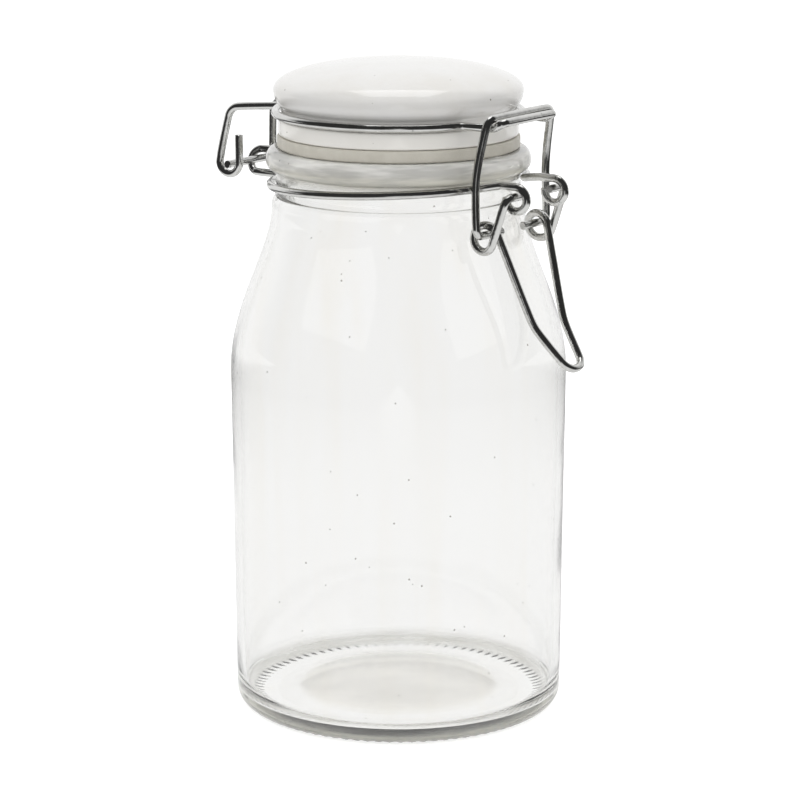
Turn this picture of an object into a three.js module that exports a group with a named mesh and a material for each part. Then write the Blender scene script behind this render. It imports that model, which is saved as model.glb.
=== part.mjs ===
// Clip-top storage jar: clear glass jar, glazed ceramic lid on a rubber seal, bent-wire hinge and clasp.
// Millimetres, +Z up. The origin is on the jar's axis, on the surface it stands on.
// The clasp is on the +X side, the hinge on the -X side, and all three pivots run along Y.
import * as THREE from 'three';

// Shared
const gap = 0.3;
const wireRadius = 1;
const turnSegments = 44;
const wireSides = 8;
const bendStep = 24;

// Glass jar
const glassHeight = 140.8;
const bodyRadius = 41.6;
const heelRadius = 40.8;
const heelRound = 4.2;
const shoulderReach = 40;
const shoulderLead = 15.6;
const neckLead = 10;
const neckRadius = 31.2;
const neckStraight = 0.6;
const neckCurve = 2.9;
const grooveRadius = 30;
const grooveRunOut = 0.9;
const beadHeight = 5.2;
const beadRadius = 32.5;
const rimRound = 1.6;
const mouthRadius = 27.5;
const mouthChamfer = 0.7;
const mouthLand = 11.9;
const wallThickness = 2;
const floorThickness = 3.3;
const floorRound = 5;
const pushUp = 1.8;
const pushUpRadius = 24;
const pushUpRun = 5.5;

// Gasket and lid
const gasketThickness = 2.5;
const gasketRadius = 29.9;
const plugRadius = 26;
const plugDepth = 9;
const plugHollow = 2;
const flangeRadius = 29.5;
const flangeHeight = 4.2;
const lidGrooveRadius = 28.7;
const lidGrooveHeight = 2.6;
const capRadius = 30.6;
const capRise = 4.3;
const domeRise = 7.1;

// Neck wire: a ring in the jar's groove, two eyes for the lever, one loop for the hinge bar
const ringUnderBead = 0.3;
const ringRise = 1.5;
const ringBend = 2.5;
const eyeReach = 9;
const eyeArm = 4.5;
const eyeArmBend = 3;
const eyeHalfGap = 8.2;
const eyeRadius = 2.9;
const eyeSweep = 275;
const eyeLeave = 22;
const eyeLift = 1.2;
const hingeReach = 14.7;
const wrapRadius = 2.8;
const wrapSide = 3.6;
const wrapDrift = 1.2;
const wrapFoot = 7.4;
const wrapBridge = 5.4;
const wrapLift = 1.4;
const bridgeBend = 2.2;
const hingeLeave = 18;

// Lid wire: a ring in the lid's groove, the catch in front, the hinge arms behind
const armHalfGap = 8.7;
const armDrop = 1.6;
const armInset = 0.4;
const armBend = 4;
const hookRadius = 3.1;
const hookStub = 7;
const hookLift = 0.7;
const barOverhang = 1;
const catchReach = 8.1;
const catchLift = 1.4;
const catchKnee = 2.3;
const catchHalfWidth = 10.8;
const catchBend = 2.2;
const catchLeave = 24;

// Lever and bail
const coilRadius = 3.1;
const coilPitch = 2.15;
const coilHalfGap = 11.6;
const coilStandOff = 2.5;
const crankDrop = 9.6;
const pinBend = 2;
const pinOverhang = 2.1;
const leverKinkOut = 10.8;
const leverKinkDrop = 21.2;
const leverTipOut = 18.7;
const leverTipDrop = 31.1;
const leverKinkHalf = 6.4;
const leverTipHalf = 3.2;
const leverKinkBend = 14;
const leverTipBend = 3.6;
const barBehindLip = 2.55;
const bailBow = 1.6;
const bailBowBend = 40;
const bailTopBend = 2.4;
const bailTopHalf = 13.5;
const bailPinEnd = 4.5;

// Heights that follow from the rim down
const beadLow = glassHeight - beadHeight;
const neckRingHeight = beadLow - ringUnderBead - wireRadius - ringRise;
const grooveLow = neckRingHeight - ringRise - wireRadius - grooveRunOut;
const neckTop = grooveLow - neckCurve;
const shoulderHigh = neckTop - neckStraight;
const shoulderLow = shoulderHigh - shoulderReach;

// Heights that follow from the stack of seal and lid
const gasketLow = glassHeight + gap;
const flangeLow = gasketLow + gasketThickness + gap;
const flangeTop = flangeLow + flangeHeight;
const capLow = flangeTop + lidGrooveHeight;
const capWide = capLow + capRise;
const lidTop = capWide + domeRise;
const lidRingHeight = (flangeTop + capLow) / 2;

// Ring radii and pivots that follow from them
const neckRing = grooveRadius + wireRadius + gap + 0.1;
const lidRing = lidGrooveRadius + wireRadius + gap + 0.15;
const eyeX = neckRing + eyeReach;
const eyeZ = neckRingHeight + ringRise + eyeLift - eyeRadius;
const leverPivotZ = eyeZ + eyeRadius - 2 * wireRadius - gap;
const wrapX = -(neckRing + hingeReach);
const wrapZ = neckRingHeight - ringRise + wrapLift;
const barZ = wrapZ + wrapRadius - 2 * wireRadius - gap;
const coilX = neckRadius + coilStandOff;
const coilZ = eyeZ - crankDrop;
const pinZ = coilZ + coilRadius - 2 * wireRadius - gap;
const lipX = lidRing + catchReach;
const lipZ = lidRingHeight + catchLift;
const topBarX = lipX - barBehindLip;
const topBarZ = lidRingHeight + 2 * wireRadius + gap;

// A wire is given as stations with the bend radius at each.
const at = (x, y, z, bend = 0) => ({ point: new THREE.Vector3(x, y, z), bend });

// Stations round a level ring, by angle in degrees from the clasp, with a height that may lean in X.
function ringStations(radius, from, to, height, lean, bend) {
  const count = Math.ceil(Math.abs(to - from) / 9);
  return Array.from({ length: count + 1 }, (_, i) => {
    const angle = THREE.MathUtils.degToRad(from + ((to - from) * i) / count);
    const x = radius * Math.cos(angle);
    const ends = i === 0 || i === count;
    return at(x, radius * Math.sin(angle), height + (lean * x) / radius, ends ? bend : 0);
  });
}

// Stations round a loop in an upright plane, with a steady sideways drift from y0 to y1.
function loopStations(x, z, radius, from, to, y0, y1) {
  const count = Math.ceil(Math.abs(to - from) / bendStep);
  return Array.from({ length: count + 1 }, (_, i) => {
    const share = i / count;
    const angle = THREE.MathUtils.degToRad(from + (to - from) * share);
    return at(x + radius * Math.cos(angle), y0 + (y1 - y0) * share, z + radius * Math.sin(angle));
  });
}

// The same stations across the XZ plane, in reverse order.
function mirrored(stations) {
  return stations.map(({ point, bend }) => at(point.x, -point.y, point.z, bend)).reverse();
}

// Rounds each corner with an arc of its bend radius, no longer than half of either leg allows.
function bentLine(stations) {
  const line = [];
  stations.forEach(({ point, bend }, i) => {
    if (bend === 0 || i === 0 || i === stations.length - 1) {
      line.push(point);
      return;
    }
    const before = point.clone().sub(stations[i - 1].point);
    const after = stations[i + 1].point.clone().sub(point);
    const room = 0.48 * Math.min(before.length(), after.length());
    before.normalize();
    after.normalize();
    const turn = before.angleTo(after);
    const radius = Math.min(bend, room / Math.tan(turn / 2));
    const start = point.clone().addScaledVector(before, -radius * Math.tan(turn / 2));
    const inward = after.clone().addScaledVector(before, -after.dot(before)).normalize();
    const count = Math.max(1, Math.ceil(THREE.MathUtils.radToDeg(turn) / bendStep));
    for (let k = 0; k <= count; k += 1) {
      const angle = (turn * k) / count;
      line.push(
        start.clone()
          .addScaledVector(before, radius * Math.sin(angle))
          .addScaledVector(inward, radius * (1 - Math.cos(angle))),
      );
    }
  });
  return line;
}

// A curve through given stations whose sections stand square to the bisector at each one.
class WireCurve extends THREE.Curve {
  constructor(stations) {
    super();
    this.stations = stations;
  }

  getPoint(t, target = new THREE.Vector3()) {
    const last = this.stations.length - 1;
    const i = Math.min(Math.floor(t * last + 1e-9), last - 1);
    return target.lerpVectors(this.stations[i], this.stations[i + 1], t * last - i);
  }

  getPointAt(u, target) {
    return this.getPoint(u, target);
  }

  getTangentAt(u, target = new THREE.Vector3()) {
    const last = this.stations.length - 1;
    const i = Math.round(u * last);
    const here = this.stations[i];
    target.set(0, 0, 0);
    if (i > 0) target.add(here.clone().sub(this.stations[i - 1]).normalize());
    if (i < last) target.add(this.stations[i + 1].clone().sub(here).normalize());
    return target.normalize();
  }

  getSpacedPoints(divisions) {
    return this.getPoints(divisions);
  }
}

// A round wire along the stations.
function wire(stations) {
  const line = bentLine(stations);
  const section = new THREE.Shape();
  section.absarc(0, 0, wireRadius, 0, 2 * Math.PI);
  return new THREE.ExtrudeGeometry(section, {
    curveSegments: wireSides / 2,
    steps: line.length - 1,
    extrudePath: new WireCurve(line),
  });
}

// A turned piece from a profile of radius and height.
function turned(profile, fineness) {
  const geometry = new THREE.LatheGeometry(profile.getPoints(fineness), turnSegments);
  return geometry.rotateX(Math.PI / 2);
}

function jarGeometry() {
  const inner = bodyRadius - wallThickness;
  const innerHeel = heelRadius - wallThickness;
  const innerNeck = neckRadius - wallThickness;
  const bearingInner = pushUpRadius + pushUpRun;
  const leadLow = shoulderLow + shoulderLead;
  const leadHigh = shoulderHigh - neckLead;
  const p = new THREE.Path();
  p.moveTo(0, pushUp);
  p.lineTo(pushUpRadius, pushUp);
  p.lineTo(bearingInner, 0);
  p.lineTo(heelRadius - heelRound, 0);
  p.absarc(heelRadius - heelRound, heelRound, heelRound, -Math.PI / 2, 0);
  p.lineTo(bodyRadius, shoulderLow);
  p.bezierCurveTo(bodyRadius, leadLow, neckRadius, leadHigh, neckRadius, shoulderHigh);
  p.lineTo(neckRadius, neckTop);
  p.quadraticCurveTo(neckRadius, grooveLow - 0.4 * neckCurve, grooveRadius, grooveLow);
  p.lineTo(grooveRadius, beadLow);
  p.quadraticCurveTo(beadRadius, beadLow, beadRadius, beadLow + 0.45 * beadHeight);
  p.quadraticCurveTo(beadRadius, glassHeight, beadRadius - rimRound, glassHeight);
  p.lineTo(mouthRadius + mouthChamfer, glassHeight);
  p.lineTo(mouthRadius, glassHeight - mouthChamfer);
  p.lineTo(mouthRadius, glassHeight - mouthLand);
  p.quadraticCurveTo(innerNeck, neckTop + 0.45 * neckCurve, innerNeck, shoulderHigh);
  p.bezierCurveTo(innerNeck, leadHigh, inner, leadLow, inner, shoulderLow);
  p.lineTo(innerHeel, floorThickness + floorRound);
  p.quadraticCurveTo(innerHeel, floorThickness, innerHeel - floorRound, floorThickness);
  p.lineTo(bearingInner, floorThickness);
  p.lineTo(pushUpRadius, pushUp + floorThickness);
  p.lineTo(0, pushUp + floorThickness);
  return turned(p, 5);
}

function lidGeometry() {
  const plugLow = flangeLow - plugDepth;
  const p = new THREE.Path();
  p.moveTo(0, plugLow + plugHollow);
  p.quadraticCurveTo(0.6 * plugRadius, plugLow + plugHollow, plugRadius - 3, plugLow);
  p.lineTo(plugRadius - 1, plugLow);
  p.lineTo(plugRadius, plugLow + 1);
  p.lineTo(plugRadius, flangeLow);
  p.lineTo(flangeRadius - 0.8, flangeLow);
  p.quadraticCurveTo(flangeRadius, flangeLow, flangeRadius, flangeLow + 0.8);
  p.lineTo(flangeRadius, flangeTop - 0.3);
  p.lineTo(flangeRadius - 0.3, flangeTop);
  p.lineTo(lidGrooveRadius, flangeTop);
  p.lineTo(lidGrooveRadius, capLow);
  p.quadraticCurveTo(capRadius, capLow + 0.35 * capRise, capRadius, capWide);
  p.bezierCurveTo(capRadius, capWide + 0.56 * domeRise, 0.62 * capRadius, lidTop, 0, lidTop);
  return turned(p, 6);
}

function gasketGeometry() {
  const inner = plugRadius + gap + 0.1;
  const top = gasketLow + gasketThickness;
  const p = new THREE.Path();
  p.moveTo(inner, gasketLow);
  p.lineTo(gasketRadius - 0.5, gasketLow);
  p.lineTo(gasketRadius, gasketLow + 0.5);
  p.lineTo(gasketRadius, top - 0.5);
  p.lineTo(gasketRadius - 0.5, top);
  p.lineTo(inner, top);
  p.lineTo(inner, gasketLow);
  return turned(p, 1);
}

// From the near eye, along the near side of the jar, round the hinge bar, and back along the far side.
function neckWireGeometry() {
  const eyeTop = eyeZ + eyeRadius;
  const underBar = wrapZ - wrapRadius;
  const overBar = wrapZ + wrapRadius;
  const wrapIn = wrapSide - wrapDrift;
  const wrapOut = wrapSide + wrapDrift;
  const half = [
    ...loopStations(eyeX, eyeZ, eyeRadius, 450 - eyeSweep, 450, -eyeHalfGap, -eyeHalfGap),
    at(eyeX - eyeArm, -eyeHalfGap, eyeTop, eyeArmBend),
    ...ringStations(neckRing, -eyeLeave, hingeLeave - 180, neckRingHeight, ringRise, ringBend),
  ];
  return wire([
    ...half,
    at(wrapX + wrapFoot, wrapIn, underBar, eyeArmBend),
    ...loopStations(wrapX, wrapZ, wrapRadius, 270, 90, wrapIn, wrapOut),
    at(wrapX + wrapBridge, wrapOut, overBar, bridgeBend),
    ...mirrored(half),
  ]);
}

// From the cut end of the near hook, round the lid, to the hinge bar at the far side.
function lidWireGeometry() {
  const hookZ = barZ + hookLift;
  const armTop = lidRingHeight - armDrop;
  const leave = 180 - THREE.MathUtils.radToDeg(Math.asin(armHalfGap / lidRing));
  const armTopX = wrapX + armInset;
  const kneeX = lipX - catchKnee;
  const nearRing = ringStations(lidRing, -leave, -catchLeave, lidRingHeight, 0, ringBend);
  const farRing = ringStations(lidRing, catchLeave, leave, lidRingHeight, 0, ringBend);
  return wire([
    at(wrapX + hookRadius, -armHalfGap, hookZ + hookStub),
    ...loopStations(wrapX, hookZ, hookRadius, 0, -180, -armHalfGap, -armHalfGap),
    at(armTopX, -armHalfGap, armTop, armBend),
    ...nearRing,
    at(kneeX, -catchHalfWidth, lidRingHeight, catchBend),
    at(lipX, -catchHalfWidth, lipZ, catchBend),
    at(lipX, catchHalfWidth, lipZ, catchBend),
    at(kneeX, catchHalfWidth, lidRingHeight, catchBend),
    ...farRing,
    at(armTopX, armHalfGap, armTop, armBend),
    at(wrapX, armHalfGap, barZ, catchBend),
    at(wrapX, -armHalfGap - barOverhang, barZ),
  ]);
}

// Angle in degrees at which a line from a point meets the coil and runs on into it, or leaves it.
function coilTangent(x, z, side) {
  const dx = x - coilX;
  const dz = z - coilZ;
  const lean = Math.acos(coilRadius / Math.hypot(dx, dz));
  return THREE.MathUtils.radToDeg(Math.atan2(dz, dx) + side * lean);
}

function leverGeometry() {
  const crankSide = coilHalfGap + coilPitch / 2;
  const armSide = coilHalfGap - coilPitch / 2;
  const kinkX = coilX + leverKinkOut;
  const kinkZ = coilZ - leverKinkDrop;
  const enter = coilTangent(eyeX, leverPivotZ, -1);
  const leave = coilTangent(kinkX, kinkZ, 1) - 360;
  const half = [
    at(eyeX, -eyeHalfGap + pinOverhang, leverPivotZ),
    at(eyeX, -crankSide, leverPivotZ, pinBend),
    ...loopStations(coilX, coilZ, coilRadius, enter, leave, -crankSide, -armSide),
    at(kinkX, -leverKinkHalf, kinkZ, leverKinkBend),
    at(coilX + leverTipOut, -leverTipHalf, coilZ - leverTipDrop, leverTipBend),
  ];
  return wire([...half, ...mirrored(half)]);
}

function bailGeometry() {
  const foot = coilHalfGap + coilPitch / 2 + 2 * wireRadius + gap;
  const midZ = (pinZ + topBarZ) / 2;
  const midX = (coilX + topBarX) / 2 - bailBow;
  const half = [
    at(coilX, -bailPinEnd, pinZ),
    at(coilX, -foot, pinZ, pinBend),
    at(midX, -foot, midZ, bailBowBend),
    at(topBarX, -bailTopHalf, topBarZ, bailTopBend),
  ];
  return wire([...half, ...mirrored(half)]);
}

const glass = new THREE.MeshStandardMaterial({
  name: 'clear_glass', color: 0xdfe8e4, roughness: 0.05, metalness: 0, transparent: true, opacity: 0.35,
});
const glaze = new THREE.MeshStandardMaterial({
  name: 'white_glaze', color: 0xe9e7e4, roughness: 0.18, metalness: 0,
});
const rubber = new THREE.MeshStandardMaterial({
  name: 'pale_rubber', color: 0xb3aca0, roughness: 0.75, metalness: 0,
});
const steel = new THREE.MeshStandardMaterial({
  name: 'plated_wire', color: 0xb9bbbd, roughness: 0.22, metalness: 1,
});

function piece(name, geometry, material) {
  const mesh = new THREE.Mesh(geometry, material);
  mesh.name = name;
  return mesh;
}

const group = new THREE.Group();
group.name = 'clip_top_jar';
group.add(
  piece('jar_glass', jarGeometry(), glass),
  piece('neck_wire', neckWireGeometry(), steel),
  piece('lid_ceramic', lidGeometry(), glaze),
  piece('lid_gasket', gasketGeometry(), rubber),
  piece('lid_wire', lidWireGeometry(), steel),
  piece('clasp_lever', leverGeometry(), steel),
  piece('clasp_bail', bailGeometry(), steel),
);

export default group;
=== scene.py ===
"""Clip-top storage jar: clear glass jar, glazed ceramic lid on a rubber seal, bent-wire hinge and clasp.

Sizes are in millimetres and become metres when a mesh is made. +Z runs up the jar's axis from the surface
that it stands on, the clasp is on the +X side, the hinge on the -X side, and the three pivots run along Y.
"""

import logging
import math
from collections.abc import Callable
from dataclasses import dataclass
from enum import Enum
from itertools import accumulate
from typing import Any, ClassVar

import bpy
import numpy as np
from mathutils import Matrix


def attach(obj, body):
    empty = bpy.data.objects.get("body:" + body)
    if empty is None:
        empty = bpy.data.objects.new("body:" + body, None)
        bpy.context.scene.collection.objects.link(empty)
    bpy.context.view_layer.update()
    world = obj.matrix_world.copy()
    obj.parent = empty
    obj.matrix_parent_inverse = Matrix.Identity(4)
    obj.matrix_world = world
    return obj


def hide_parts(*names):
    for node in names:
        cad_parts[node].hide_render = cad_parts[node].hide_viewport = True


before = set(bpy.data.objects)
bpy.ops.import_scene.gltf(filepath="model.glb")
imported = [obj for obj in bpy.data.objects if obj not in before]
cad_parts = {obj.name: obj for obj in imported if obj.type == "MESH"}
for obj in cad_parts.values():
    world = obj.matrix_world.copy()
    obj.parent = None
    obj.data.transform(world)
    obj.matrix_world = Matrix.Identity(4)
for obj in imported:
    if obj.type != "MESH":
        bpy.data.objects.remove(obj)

Array = np.ndarray
Pair = tuple[float, float]
Triple = tuple[float, float, float]
Colour = tuple[float, float, float]
Swell = Callable[[Array, Array, Array], tuple[Array, Array]]
Material = bpy.types.Material
Object = bpy.types.Object
Socket = bpy.types.NodeSocket

# Lengths are in millimetres and angles in degrees
MM = 0.001
GAP = 0.3
WIRE_RADIUS = 1.0
LOOP_TOP = 90.0
LOOP_FOOT = 270.0
FULL_TURN = 360.0
RING_STEP = 9.0
BEND_STEP = 15.0
LEG_SHARE = 0.48
SAME_ROW = 1e-6
SAME_STATION = 1e-4
ON_AXIS = 1e-9
NOISE_ROUGHNESS = 0.55
SPECK_CORE = 0.6
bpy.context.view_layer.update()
log = logging.getLogger("clip_top_jar")


class Body(Enum):
    """Moving bodies that a piece can ride on."""

    JAR = "jar"
    LID = "lid"
    LEVER = "lever"
    BAIL = "bail"


class Slot(Enum):
    """Material slots of the part."""

    GLASS = "clear_glass"
    GLAZE = "white_glaze"
    RUBBER = "pale_rubber"
    WIRE = "plated_wire"


# Shapes: profiles, turned pieces and wires


@dataclass(frozen=True)
class Surface:
    """Points in millimetres, the quads and triangles between them, and a UV pair at each corner."""

    points: Array
    quads: Array
    triangles: Array
    quad_uv: Array
    triangle_uv: Array


def arc(centre: Pair, radius: float, start: float, end: float, count: int) -> Array:
    """Gives points on a circle, centre + radius (cos a, sin a), with a in even steps of degrees."""
    angle = np.radians(np.linspace(start, end, count + 1))
    return np.array(centre) + radius * np.c_[np.cos(angle), np.sin(angle)]


def bezier(corners: list[Pair], count: int) -> Array:
    """Gives points on a Bezier curve: the corners weighted by the binomial terms of (1 - t) and t.

    Args:
        corners: Start, control points and end.
        count: Number of steps.

    Returns:
        Radius and height of each point.
    """
    t = np.linspace(0, 1, count + 1)[:, None]
    last = len(corners) - 1
    terms = [
        math.comb(last, k) * (1 - t) ** (last - k) * t**k * np.array(corner)
        for k, corner in enumerate(corners)
    ]
    return np.sum(terms, axis=0)


def rounded(corner: Pair, come: Pair, go: Pair, count: int) -> Array:
    """Rounds a corner with a Bezier curve from an offset before it to an offset after it."""
    r, z = corner
    return bezier([(r + come[0], z + come[1]), corner, (r + go[0], z + go[1])], count)


def chain(parts: list[Array], step: float) -> Array:
    """Joins runs of profile points, drops repeats, and divides spans longer than a step.

    Args:
        parts: Runs of radius and height in order.
        step: Longest span to leave undivided.

    Returns:
        One profile of radius and height.
    """
    line = np.vstack([np.atleast_2d(part) for part in parts])
    line = line[np.r_[True, np.linalg.norm(np.diff(line, axis=0), axis=1) > SAME_ROW]]
    length = along_line(line)
    spans = zip(length, length[1:])
    fill = [np.linspace(a, b, max(1, math.ceil((b - a) / step)), endpoint=False) for a, b in spans]
    places = np.r_[np.concatenate(fill), length[-1]]
    return np.c_[np.interp(places, length, line[:, 0]), np.interp(places, length, line[:, 1])]


def along_line(line: Array) -> Array:
    """Gives the length along a line at each of its points."""
    return np.r_[0, np.cumsum(np.linalg.norm(np.diff(line, axis=0), axis=1))]


def corner_uv(low: Array, columns: int, low_v: Array, high_v: Array) -> Array:
    """Gives the UV pairs of a band of quads: turns round the piece, and length along it.

    Args:
        low: Index grid of the lower row of each band.
        columns: Points in one turn.
        low_v: Length at each lower row.
        high_v: Length at each upper row.

    Returns:
        UV pairs, four to a quad.
    """
    left = np.broadcast_to(np.arange(columns) / columns, low.shape)
    right = left + 1 / columns
    bottom = np.broadcast_to(low_v[:, None], low.shape)
    top = np.broadcast_to(high_v[:, None], low.shape)
    corners = ((left, bottom), (right, bottom), (right, top), (left, top))
    return np.stack([np.stack(pair, -1) for pair in corners], axis=2).reshape(-1, 4, 2)


def band_quads(low: Array, high: Array) -> Array:
    """Gives the quads between lower and upper rows of a grid that is closed round each row."""
    return np.stack([low, np.roll(low, -1, 1), np.roll(high, -1, 1), high], -1).reshape(-1, 4)


def turned(profile: Array, columns: int, swell: Swell | None = None) -> Surface:
    """Turns a profile about the jar's axis: a point is (r cos a, r sin a, z), with a in even steps.

    A first or last row on the axis becomes one pole, and a profile that ends where it starts is closed on
    itself.

    Args:
        profile: Radius and height of each row, anticlockwise round the material.
        columns: Points in one turn.
        swell: Gives a change of radius and of height from radius, height and angle.

    Returns:
        The closed surface.
    """
    closed = bool(np.allclose(profile[0], profile[-1]))
    rows = profile[:-1] if closed else profile[profile[:, 0] > ON_AXIS]
    angle = np.broadcast_to(np.linspace(0, 2 * np.pi, columns, endpoint=False), (len(rows), columns))
    radius = np.broadcast_to(rows[:, :1], angle.shape)
    height = np.broadcast_to(rows[:, 1:], angle.shape)
    if swell is not None:
        out, up = swell(radius, height, angle)
        radius, height = radius + out, height + up
    points = np.stack([radius * np.cos(angle), radius * np.sin(angle), height], -1).reshape(-1, 3)
    index = np.arange(angle.size).reshape(angle.shape)
    length = along_line(rows) * MM
    if closed:
        quad_uv = corner_uv(index, columns, length, np.r_[length[1:], length[-1] + MM])
        quads = band_quads(index, np.roll(index, -1, axis=0))
        return Surface(points, quads, np.zeros((0, 3), int), quad_uv, np.zeros((0, 3, 2)))
    quad_uv = corner_uv(index[:-1], columns, length[:-1], length[1:])
    poles = np.array([[0, 0, profile[0, 1]], [0, 0, profile[-1, 1]]])
    return with_caps(points, index, poles, quad_uv)


def with_caps(points: Array, index: Array, poles: Array, quad_uv: Array) -> Surface:
    """Closes the first and last ring of a grid with fans of triangles to two middle points.

    Args:
        points: Points of the grid.
        index: Index grid, one row to a ring.
        poles: The two middle points.
        quad_uv: UV pairs of the grid's quads.

    Returns:
        The closed surface.
    """
    start = np.full(index.shape[1], len(points))
    first, last = index[0], index[-1]
    fans = np.vstack([
        np.stack([start, np.roll(first, -1), first], -1),
        np.stack([last, np.roll(last, -1), start + 1], -1),
    ])
    quads = band_quads(index[:-1], index[1:])
    return Surface(np.vstack([points, poles]), quads, fans, quad_uv, np.zeros((len(fans), 3, 2)))


def ring_stations(radius: float, start: float, end: float, height: float, lean: float, bend: float) -> Array:
    """Gives stations on a ring round the jar, (r cos a, r sin a, height + lean cos a).

    Args:
        radius: The ring's radius.
        start: First angle in degrees from the clasp.
        end: Last angle in degrees.
        height: Height of the ring's middle.
        lean: Rise of the ring towards the clasp.
        bend: Bend radius at the two end stations.

    Returns:
        X, Y, Z and bend radius of each station.
    """
    count = math.ceil(abs(end - start) / RING_STEP)
    angle = np.radians(np.linspace(start, end, count + 1))
    bends = np.zeros(count + 1)
    bends[[0, -1]] = bend
    return np.c_[radius * np.cos(angle), radius * np.sin(angle), height + lean * np.cos(angle), bends]


def loop_stations(centre: Pair, radius: float, start: float, end: float, sides: Pair) -> Array:
    """Gives stations on an upright loop, (x + r cos a, y, z + r sin a), with y changing steadily.

    Args:
        centre: X and Z of the loop's middle.
        radius: The loop's radius.
        start: First angle in degrees.
        end: Last angle in degrees.
        sides: Y at the first and at the last angle.

    Returns:
        X, Y, Z and bend radius of each station.
    """
    count = math.ceil(abs(end - start) / BEND_STEP)
    angle = np.radians(np.linspace(start, end, count + 1))
    across = np.linspace(*sides, count + 1)
    return np.c_[centre[0] + radius * np.cos(angle), across, centre[1] + radius * np.sin(angle), 0 * angle]


def station(x: float, y: float, z: float, bend: float = 0.0) -> Array:
    """Gives one station as X, Y, Z and bend radius."""
    return np.array([[x, y, z, bend]])


def mirrored(stations: Array) -> Array:
    """Gives the same stations across the XZ plane, in reverse order."""
    return stations[::-1] * np.array([1, -1, 1, 1])


def unit(vector: Array) -> Array:
    """Gives a vector, or each row of vectors, at length one."""
    return vector / np.linalg.norm(vector, axis=-1, keepdims=True)


def corner_arc(before: Array, here: Array, after: Array, bend: float) -> Array:
    """Rounds one corner with an arc that touches both legs.

    With the legs' unit directions d and e and the turn between them w, the arc starts bend * tan(w / 2)
    before the corner, and a point on it is start + bend (sin a * d + (1 - cos a) * n), where n is e less
    its part along d.

    Args:
        before: The station before the corner.
        here: The corner.
        after: The station after it.
        bend: Bend radius, cut down where a leg is too short for it.

    Returns:
        Points along the arc.
    """
    d, e = unit(here - before), unit(after - here)
    turn = math.acos(float(np.clip(d @ e, -1, 1)))
    room = LEG_SHARE * min(np.linalg.norm(here - before), np.linalg.norm(after - here))
    radius = min(bend, room / math.tan(turn / 2))
    n = unit(e - (e @ d) * d)
    angle = np.linspace(0, turn, max(2, math.ceil(math.degrees(turn) / BEND_STEP)) + 1)[:, None]
    return here - radius * math.tan(turn / 2) * d + radius * (np.sin(angle) * d + (1 - np.cos(angle)) * n)


def bent_line(stations: Array) -> Array:
    """Runs through stations, with each corner that has a bend radius rounded.

    Args:
        stations: X, Y, Z and bend radius of each station.

    Returns:
        Points along the line.
    """
    place, bends = stations[:, :3], stations[:, 3]
    middle = [
        corner_arc(place[i - 1], place[i], place[i + 1], bends[i]) if bends[i] > 0 else place[i : i + 1]
        for i in range(1, len(place) - 1)
    ]
    return np.vstack([place[:1], *middle, place[-1:]])


def eased(points: Array, steps: int) -> Array:
    """Runs a smooth curve through points: a centripetal Catmull-Rom spline.

    The knots are spaced by the square root of the distance between points, and each span is the pyramid of
    straight blends between its two points and their neighbours at those knots.

    Args:
        points: Points to pass through.
        steps: Steps in each span.

    Returns:
        Points along the curve.
    """
    points = points[np.r_[True, np.linalg.norm(np.diff(points, axis=0), axis=1) > SAME_STATION]]
    p = np.vstack([2 * points[0] - points[1], points, 2 * points[-1] - points[-2]])
    knot = np.r_[0, np.cumsum(np.sqrt(np.linalg.norm(np.diff(p, axis=0), axis=1)))]
    k0, k1, k2, k3 = (knot[i : len(knot) - 3 + i, None, None] for i in range(4))
    p0, p1, p2, p3 = (p[i : len(p) - 3 + i, None, :] for i in range(4))
    t = k1 + (k2 - k1) * (np.arange(steps) / steps)[None, :, None]
    a = (p0 * (k1 - t) + p1 * (t - k0)) / (k1 - k0)
    b = (p1 * (k2 - t) + p2 * (t - k1)) / (k2 - k1)
    c = (p2 * (k3 - t) + p3 * (t - k2)) / (k3 - k2)
    d = (a * (k2 - t) + b * (t - k0)) / (k2 - k0)
    e = (b * (k3 - t) + c * (t - k1)) / (k3 - k1)
    curve = (d * (k2 - t) + e * (t - k1)) / (k2 - k1)
    return np.vstack([curve.reshape(-1, 3), points[-1]])


def carried(side: Array, tangent: Array) -> Array:
    """Takes the part along a tangent out of a side vector and gives it back at length one."""
    return unit(side - (side @ tangent) * tangent)


def wire(stations: Array, sides: int = 20, steps: int = 4, chamfer: float = 0.16) -> Surface:
    """Carries a circle along a bent line: a point is p + r (cos a * side + sin a * across).

    The side vector is carried from station to station by taking out its part along the next tangent, so
    that the wire doesn't twist. Both ends are cut square with a small chamfer.

    Args:
        stations: X, Y, Z and bend radius of each station.
        sides: Points round the wire.
        steps: Steps between points of the bent line.
        chamfer: Size of the chamfer at the cut ends.

    Returns:
        The closed surface.
    """
    path = eased(bent_line(stations), steps)
    path = np.vstack([
        path[:1],
        path[:1] + chamfer * unit(path[1:2] - path[:1]),
        path[1:-1],
        path[-1:] + chamfer * unit(path[-2:-1] - path[-1:]),
        path[-1:],
    ])
    tangent = unit(np.gradient(path, axis=0))
    seed = np.eye(3)[np.argmin(np.abs(tangent[0]))]
    side = np.array(list(accumulate(tangent[1:], carried, initial=carried(seed, tangent[0]))))
    across = np.cross(tangent, side)
    angle = np.linspace(0, 2 * np.pi, sides, endpoint=False)[None, :, None]
    radius = np.full((len(path), 1, 1), WIRE_RADIUS)
    radius[[0, -1]] -= chamfer
    grid = path[:, None] + radius * (np.cos(angle) * side[:, None] + np.sin(angle) * across[:, None])
    index = np.arange(len(path) * sides).reshape(len(path), sides)
    length = along_line(path) * MM
    quad_uv = corner_uv(index[:-1], sides, length[:-1], length[1:])
    return with_caps(grid.reshape(-1, 3), index, path[[0, -1]], quad_uv)


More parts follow.
